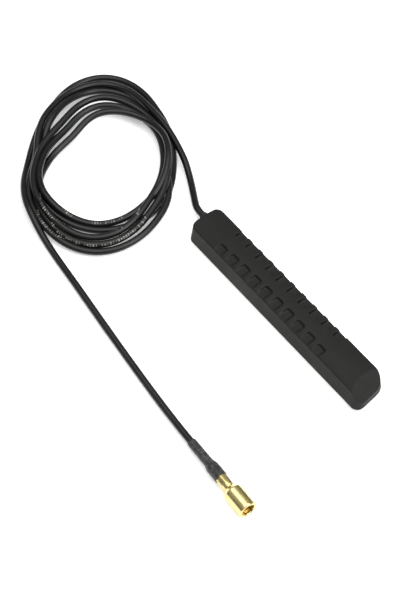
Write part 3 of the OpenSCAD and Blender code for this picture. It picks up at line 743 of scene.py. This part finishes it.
LEAD = [(-78.3, -51.5, 1.4), (-54.7, -54.2, 1.4), (-27, -57.3, 1.4), (0, -60, 1.45)]
LEAD_STEPS = (20, 24, 24, 24, 20)
# straight ends, as distances along x from the boot flex and along the plug from its flex
BOOT_STRAIGHT = (10.0, 8.5, 7, 5.5, 4, 2.5, 1.2)
PLUG_STRAIGHT = (-3, -2, -1, 0, 1.2, 2.5, 4, 5.5, 7, 9, 11, 13, 15, 17.6)


def spline(before, start, end, after, t):
    """Catmull-Rom spline from start to end."""
    a, b, c, d = (np.asarray(knot, float) for knot in (before, start, end, after))
    return b + 0.5 * t * (c - a + t * (2 * a - 5 * b + 4 * c - d + t * (3 * (b - c) + d - a)))


def spline_span(knots, i, steps):
    return [spline(*knots[i - 1:i + 3], t) for t in np.arange(steps) / steps]


def coil_station(i):
    k = min(max(i, 0), len(COIL_STATIONS) - 1)
    inset, z = COIL_STATIONS[k]
    return COIL_OUTER[(k + 7) % 8] - inset, z


def coil_point(degrees):
    station = degrees / 45.0 + 1
    i = math.floor(station)
    radius, z = spline(*(coil_station(i + k) for k in (-1, 0, 1, 2)), station - i)
    u = COIL_CENTRE[0] + radius * math.cos(math.radians(degrees))
    w = COIL_CENTRE[1] + radius * math.sin(math.radians(degrees))
    turn_cos, turn_sin = math.cos(COIL_TURN), math.sin(COIL_TURN)
    return np.array([u * turn_cos - w * turn_sin, u * turn_sin + w * turn_cos, z])


def arc_lengths(line):
    steps = np.linalg.norm(np.diff(line, axis=0), axis=1)
    return np.concatenate([[0], np.cumsum(steps)])


def resample(line, spacing):
    """Evenly spaced points along the line, and their arc lengths."""
    lengths = arc_lengths(line)
    even = np.linspace(0, lengths[-1], int(round(lengths[-1] / spacing)) + 1)
    return np.stack([np.interp(even, lengths, line[:, i]) for i in range(3)], 1), even


def smoothed(line):
    """Takes the kinks out of the knots; the straight ends stay where they are."""
    reach, spread = 9, 3.6
    weights = np.exp(-0.5 * (np.arange(-reach, reach + 1) / spread) ** 2)
    weights /= weights.sum()
    out = np.arange(1, reach + 1)[:, None]
    padded = np.concatenate([line[0] + (line[0] - line[1]) * out[::-1], line,
                             line[-1] + (line[-1] - line[-2]) * out])
    return np.stack([np.convolve(padded[:, i], weights, "valid") for i in range(3)], 1)


def cable_path():
    entry = [np.append(flex_boot[:2] + (dx, dy), z) for dx, dy, z in ENTRY]
    knots_in = [flex_boot + [6, 0, 0], flex_boot, *entry, coil_point(0), coil_point(COIL_KNOT)]
    knots_out = [coil_point(COIL_END - COIL_KNOT), coil_point(COIL_END), *LEAD,
                 flex_plug - 3 * plug_dir, flex_plug, flex_plug + 12 * plug_dir]
    line = [flex_boot + [x, 0, 0] for x in BOOT_STRAIGHT]
    for i in (1, 2, 3):
        line += spline_span(knots_in, i, 12)
    line += [coil_point(degrees) for degrees in np.arange(0, COIL_END - 0.01, COIL_STEP)]
    for i, steps in enumerate(LEAD_STEPS, 1):
        line += spline_span(knots_out, i, steps)
    line += [flex_plug + x * plug_dir for x in PLUG_STRAIGHT]
    even, _ = resample(np.array(line), spacing=0.5)
    return resample(smoothed(even), spacing=0.66)


path, arc = cable_path()
tangent = unit(np.gradient(path, axis=0))
side_dir = unit(np.cross(tangent, [0, 0, 1.0]))
up_dir = np.cross(side_dir, tangent)

# stretches of cable, (start, end) by arc length, whose printed side faces the camera
PRINT_SHOWS = ((170, 177), (388, 424), (567, 572), (604, 609), (749, 767), (942, 953))
PRINT_FADE = 12


def print_line():
    """Angle of the print line round the cable; it faces away outside PRINT_SHOWS."""
    facing = np.arctan2(up_dir @ TO_CAMERA, side_dir @ TO_CAMERA)
    show = np.zeros_like(arc)
    for start, end in PRINT_SHOWS:
        edge = np.minimum(arc - start + PRINT_FADE, end + PRINT_FADE - arc)
        fade = np.clip(edge / PRINT_FADE, 0, 1)
        show = np.maximum(show, fade * fade * (3 - 2 * fade))
    return facing + (math.pi * (1 - show) + 0.3 * np.sin(arc / 23.0))


print_angle = print_line()


# =============================================================== cable layers
def ring_angles(sides):
    return 2 * np.pi * (np.arange(sides) + 0.5) / sides


def ring_points(rows, sides, radius):
    angles = ring_angles(sides)[None, :, None]
    offset = np.cos(angles) * side_dir[rows][:, None] + np.sin(angles) * up_dir[rows][:, None]
    return (path[rows][:, None] + radius * offset).reshape(-1, 3)


def ring_quads(rings, sides):
    i = np.arange(rings - 1)[:, None] * sides
    k = np.arange(sides)[None]
    next_k = (k + 1) % sides
    return np.stack([i + k, i + next_k, i + sides + next_k, i + sides + k], 2).reshape(-1, 4)


def jacket_uv(rows, sides, radius):
    """mm along the cable, and mm round from the print line unwrapped inside each face."""
    width = 2 * np.pi / sides
    middle = (ring_angles(sides)[None] + width / 2) - print_angle[rows][:-1, None]
    middle = (middle + np.pi) % (2 * np.pi) - np.pi
    turn = np.diff(print_angle[rows])[:, None]
    start = arc[rows][:-1, None] + 0 * middle
    end = arc[rows][1:, None] + 0 * middle
    low, high = middle - width / 2, middle + width / 2
    around = np.stack([low, high, high - turn, low - turn], 2) * radius
    return np.stack([np.stack([start, start, end, end], 2), around], 3).reshape(-1, 2)


def end_cap(outer, inner, sides, bore_sides):
    """Triangles from the ring that starts at outer to the bore's ring, or to a centre point."""
    if not bore_sides:
        k = np.arange(sides)
        return np.stack([np.full(sides, inner), outer + (k + 1) % sides, outer + k], 1)
    step = sides // bore_sides
    triangles = []
    for k in range(bore_sides):
        rim = [outer + (k * step + j + step // 2) % sides for j in range(step + 1)]
        here, ahead = inner + k, inner + (k + 1) % bore_sides
        triangles += [[here, rim[j + 1], rim[j]] for j in range(step)]
        triangles.append([here, ahead, rim[step]])
    return np.array(triangles)


def tube(name, first, last, radius, material, sides, bore=None, bore_sides=0, stride=1,
         jacket=False):
    """Tube along path[first..last]; a jacket swells slightly and carries the print UVs."""
    rows = np.arange(first, last + 1, stride)
    if rows[-1] != last:
        rows = np.append(rows, last)
    rings = len(rows)
    ring_radius = radius
    if jacket:
        along = arc[rows][:, None, None]
        ring_radius = radius + (0.012 * np.sin(along / 7.3) + 0.008 * np.sin(along / 2.9 + 1.0))
    bore_start = rings * sides
    points = [ring_points(rows, sides, ring_radius)]
    faces = [ring_quads(rings, sides)]
    if bore:
        points.append(ring_points(rows, bore_sides, bore))
        faces.append(ring_quads(rings, bore_sides)[:, [0, 3, 2, 1]] + bore_start)
    else:
        points.append(path[rows[[0, -1]]])
    inner_last = (rings - 1) * bore_sides if bore else 1
    faces.append(end_cap(0, bore_start, sides, bore_sides))
    faces.append(end_cap((rings - 1) * sides, bore_start + inner_last, sides,
                         bore_sides)[:, ::-1])
    uv = None
    if jacket:
        # bore and caps get a point well off the print line
        uv = jacket_uv(rows, sides, radius)
        rest = sum(f.size for f in faces) - len(uv)
        uv = np.concatenate([uv, np.full((rest, 2), 9.0)])
    return make_mesh(name, np.concatenate(points), faces, material, sharp=50, uv=uv)


def nearest(point):
    return int(np.argmin(np.linalg.norm(path - point, axis=1)))


def index_from(i, distance):
    """First path index at least distance further along than index i."""
    return int(np.searchsorted(arc, arc[i] + distance))


at_boot, at_plug = nearest(flex_boot), nearest(flex_plug)
run_start, run_end = index_from(at_boot, 10.0), index_from(at_plug, -12.0)
jacket_sides = 24


def jacket(name, node, first, last):
    ob = tube(name, first, last, radius=1.35, material=MATERIALS["pvc"], sides=jacket_sides,
              bore=1.03, bore_sides=jacket_sides // 2, jacket=True)
    declare(ob, node)
    return ob


boot_end = jacket("jacket_boot_end", "jacket_tail", 0, run_start)
run = jacket("jacket_run", "cable_jacket", run_start, run_end)
plug_end = jacket("jacket_plug_end", "jacket_stub", run_end, len(path) - 1)
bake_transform(boot_end)
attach(run, "cable")
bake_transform(plug_end)

# layers inside the jacket, between the two bends
LAYERS = (      # name, CAD node, radius, bore, sides, bore sides, material, slot
    ("braid_run", "cable_braid", 0.94, 0.78, 12, 12, "braid", "braid"),
    ("core_run", "cable_dielectric", 0.74, 0.27, 12, 12, "poly", "dielectric"),
    ("conductor_run", "cable_conductor", 0.24, None, 8, 0, "copper", "copper"))
for name, node, radius, bore, sides, bore_sides, material, slot in LAYERS:
    layer = tube(name, index_from(at_boot, 0.4), index_from(at_plug, -0.4), radius,
                 MATERIALS[material], sides, bore, bore_sides, stride=3)
    declare(layer, node, "cable")

# =============================================================== plug
# x runs along the plug from its open mouth at 0; the cable is at -x
mouth = flex_plug + 36.5 * plug_dir
plug_side = unit(np.cross([0, 0, 1.0], plug_dir))
plug_axes = np.stack([plug_dir, plug_side, np.cross(plug_dir, plug_side)], 0)
BARREL_RADIUS, FERRULE_RADIUS = 3.6, 2.15
FERRULE_FIT = FERRULE_RADIUS + 0.03         # inside radius of the sleeve over the ferrule
SLEEVE_BACK = -34.2
BARREL_PROFILE = [                          # (x, radius) in all three tables
    (-10.7, 1.32), (-10.7, 2.3), (-8.9, BARREL_RADIUS), (-0.32, BARREL_RADIUS),
    (0, BARREL_RADIUS - 0.3), (0, 2.62), (-0.3, 2.45), (-8.5, 2.45), (-8.5, 1.32)]
FERRULE_PROFILE = [
    (-18.5, 1.47), (-18.5, FERRULE_RADIUS - 0.1), (-18.35, FERRULE_RADIUS),
    (-11.35, FERRULE_RADIUS), (-11.2, FERRULE_RADIUS - 0.14), (-11.2, 1.47)]
SLEEVE_PROFILE = [
    (SLEEVE_BACK, 1.38), (SLEEVE_BACK, 1.66), (-33.6, 1.74), (-23.9, 1.80), (-22.9, 1.98),
    (-21.9, 2.33), (-21.3, 2.40), (-16.5, 2.42), (-15.95, 2.38), (-15.9, FERRULE_FIT),
    (-18.62, FERRULE_FIT), (-18.8, 1.38)]


def on_plug(points):
    return mouth + points @ plug_axes


def crimp(x, angle, radius):
    """Makes the ferrule slightly six-sided, fading out to round ends."""
    start, end, fade = -17.9, -12.2, 0.6
    crimped = np.clip((x - start) / fade, 0, 1) * np.clip((end - x) / fade, 0, 1)
    crimped = crimped * (radius > 1.8)
    flat = np.cos(((angle + 0.26) % (np.pi / 3)) - np.pi / 6)
    return crimped * 0.55 * (0.972 / flat - 1.0) * radius * 0.9


def shrunk(x, angle, radius):
    """Uneven shrinkage: soft lumps, and folds where the sleeve steps up to the ferrule."""
    outside = np.clip((radius - 1.6) / 0.12, 0, 1) * (x > SLEEVE_BACK + 0.05)
    uneven = (0.045 * lumps(x * 1.1, angle, seed=5, waves=10, turns=3)
              + 0.03 * lumps(x * 2.6, angle, seed=9, waves=10, turns=5))
    folds = np.exp(-((x + 22.6) / 1.3) ** 2) * 0.07 * np.cos(5 * angle + 0.6 * x + 1.0)
    lip = np.exp(-((x + 15.9) / 0.5) ** 2) * -0.02
    return outside * (uneven + folds + lip)


barrel = lathe("plug_barrel", fine_profile(BARREL_PROFILE, corner=0.14, step=0.6),
               MATERIALS["gold_shell"], segments=96, place=on_plug, sharp=30)
declare(barrel, "plug_shell", "plug")
ferrule = lathe("crimp_sleeve", fine_profile(FERRULE_PROFILE, corner=0.08, step=0.3),
                MATERIALS["gold_ferrule"], segments=96, place=on_plug, wobble=crimp, sharp=30)
declare(ferrule, "crimp_ferrule", "plug")
sleeve = lathe("shrink_sleeve", fine_profile(SLEEVE_PROFILE, corner=0.1, step=0.3),
               MATERIALS["shrink"], segments=64, place=on_plug, wobble=shrunk, sharp=70)
declare(sleeve, "heat_shrink", "plug")


# =============================================================== tape and liner
def slab(name, low, high, material, tab=0.0, fuzz=0.0):
    """Thin sheet with round corners; tab extends it at +x, fuzz roughens its long edges."""
    back_corner, nose_corner, tab_half_width = 0.9, 5.6, 3.0
    columns, across = 120, 13
    body_end = high[0] - tab
    half_length, half_width = (body_end - low[0]) / 2, (high[1] - low[1]) / 2
    back, nose = -half_length + back_corner, half_length - nose_corner
    xs = np.concatenate([
        -half_length + back_corner * (1 - np.cos(np.linspace(0, np.pi / 2, 8))),
        np.linspace(back, nose, columns)[1:-1],
        nose + nose_corner * np.sin(np.linspace(0, np.pi / 2, 12))])
    widths = np.full_like(xs, half_width)
    for corner, inset in ((back_corner, back - xs), (nose_corner, xs - nose)):
        on = inset > 0
        arc_width = np.sqrt(np.maximum(corner * corner - inset[on] ** 2, 0))
        widths[on] = half_width - corner + arc_width
    if tab:
        xs = np.append(xs, [half_length + tab - 0.15, half_length + tab])
        widths[-1] = max(widths[-1], tab_half_width)
        widths = np.append(widths, [tab_half_width, tab_half_width - 0.2])
    n, m = len(xs), across
    x = np.repeat(xs[:, None], m, 1) + (body_end + low[0]) / 2
    y = widths[:, None] * np.linspace(-1, 1, m)[None] + (low[1] + high[1]) / 2
    if fuzz:
        rng = np.random.default_rng(3)
        y[:, 0] += rng.normal(0, fuzz, n)
        y[:, -1] += rng.normal(0, fuzz, n)
    points = np.concatenate([np.stack([x, y, np.full_like(x, z)], 2).reshape(-1, 3)
                             for z in (high[2], low[2])])
    i = np.arange(n - 1)[:, None] * m
    k = np.arange(m - 1)[None]
    top = np.stack([i + k, i + m + k, i + m + k + 1, i + k + 1], 2).reshape(-1, 4)
    rim = np.concatenate([np.arange(n) * m, (n - 1) * m + np.arange(1, m),
                          (n - 2 - np.arange(n - 1)) * m + m - 1, np.arange(m - 2, 0, -1)])
    ahead = np.roll(rim, -1)
    edge = np.stack([rim, rim + n * m, ahead + n * m, ahead], 1)
    return make_mesh(name, points, [top, top[:, ::-1] + n * m, edge], material, sharp=40)


tape = slab("tape_strip", *box_mm("foam_tape"), MATERIALS["foam"], fuzz=0.015)
declare(tape, "foam_tape", "antenna")
liner = slab("liner_sheet", *box_mm("release_liner"), MATERIALS["liner"], tab=0.4)
declare(liner, "release_liner")
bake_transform(liner)

# =============================================================== CAD nodes that keep their shape
KEPT_NODES = {                              # node: (material, slot)
    "base_plate": ("base", "base"), "antenna_board": ("board", "fr4"),
    "low_band_arm": ("copper", "copper"), "high_band_arm": ("copper", "copper"),
    "ground_pad": ("copper", "copper"), "matching_inductor": ("ferrite", "chip"),
    "matching_capacitor": ("ceramic", "chip"), "solder_signal": ("tin", "solder"),
    "solder_ground": ("tin", "solder"), "ground_clip": ("tin", "solder"),
    "braid_tail": ("braid", "braid"), "dielectric_tail": ("poly", "dielectric"),
    "conductor_tail": ("copper", "copper"), "braid_stub": ("braid", "braid"),
    "dielectric_stub": ("poly", "dielectric"), "conductor_stub": ("copper", "copper"),
    "plug_body": ("gold_ferrule", "gold"), "outer_contact": ("gold_inner", "gold"),
    "insulator": ("ptfe", "ptfe"), "centre_contact": ("gold_inner", "gold")}
for node, (material, slot) in KEPT_NODES.items():
    ob = frame["nodes"][node]
    ob.data.materials.clear()
    ob.data.materials.append(MATERIALS[material])

# =============================================================== stage, in metres
scene = bpy.context.scene
FLOOR_HALF, FLOOR_Z = 3.0, -0.0002


def add_object(name, data):
    ob = bpy.data.objects.new(name, data)
    scene.collection.objects.link(ob)
    return ob


floor_mesh = bpy.data.meshes.new("floor")
floor_mesh.from_pydata([(x * FLOOR_HALF, y * FLOOR_HALF, FLOOR_Z)
                        for x, y in ((-1, -1), (1, -1), (1, 1), (-1, 1))], [], [(0, 1, 2, 3)])
floor_mesh.materials.append(studio_floor())
add_object("floor", floor_mesh)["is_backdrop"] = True

# world: white, brighter towards the zenith
world = bpy.data.worlds.new("studio")
scene.world = world
world.use_nodes = True
sky = Nodes(world.node_tree)
direction = sky.node("ShaderNodeTexCoord").outputs["Generated"]
height = sky.node("ShaderNodeSeparateXYZ", {0: direction}).outputs["Z"]
strength = sky.ramp(height, span=(0.05, 0.75), to=(0.14, 0.42))
background = sky.node("ShaderNodeBackground",
                      {"Strength": strength, "Color": (1.0, 1.0, 1.0, 1.0)})
sky.node("ShaderNodeOutputWorld", {0: background.outputs[0]})

LIGHT_TARGET = Vector((-0.03, 0.0, 0.0))


def area_light(name, location, size, power):
    """Square white area light aimed at LIGHT_TARGET; size in metres, power in watts."""
    light = bpy.data.lights.new(name, "AREA")
    light.shape = "RECTANGLE"
    light.size = light.size_y = size
    light.energy = power
    light.color = (1, 1, 1)
    ob = add_object(name, light)
    ob.location = location
    aim = LIGHT_TARGET - Vector(location)
    ob.rotation_euler = aim.to_track_quat("-Z", "Y").to_euler()


area_light("overhead", location=(0.04, -0.06, 1.0), size=1.3, power=13.0)
area_light("side", location=(0.59, 0.28, 0.65), size=0.42, power=5.0)

CAMERA_TARGET = Vector((-0.02347, -0.02141, 0.0))
CAMERA_DISTANCE = 0.69881
camera = bpy.data.cameras.new("camera")
camera.sensor_width = 36.0
camera.lens = 113.4
camera.clip_start = 0.01
camera.clip_end = 20.0
camera_object = add_object("camera", camera)
back = Vector(TO_CAMERA)
right = Vector((math.cos(VIEW_AZIMUTH), math.sin(VIEW_AZIMUTH), 0.0))
pose = Matrix((right, back.cross(right), back)).transposed().to_4x4()
pose.translation = CAMERA_TARGET + back * CAMERA_DISTANCE
camera_object.matrix_world = pose
scene.camera = camera_object
scene.view_settings.view_transform = "Standard"
scene.view_settings.look = "None"
scene.view_settings.exposure = 0.0
scene.view_settings.gamma = 1.0

{"cad": cad_bounds, "visual": to_lists(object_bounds())}
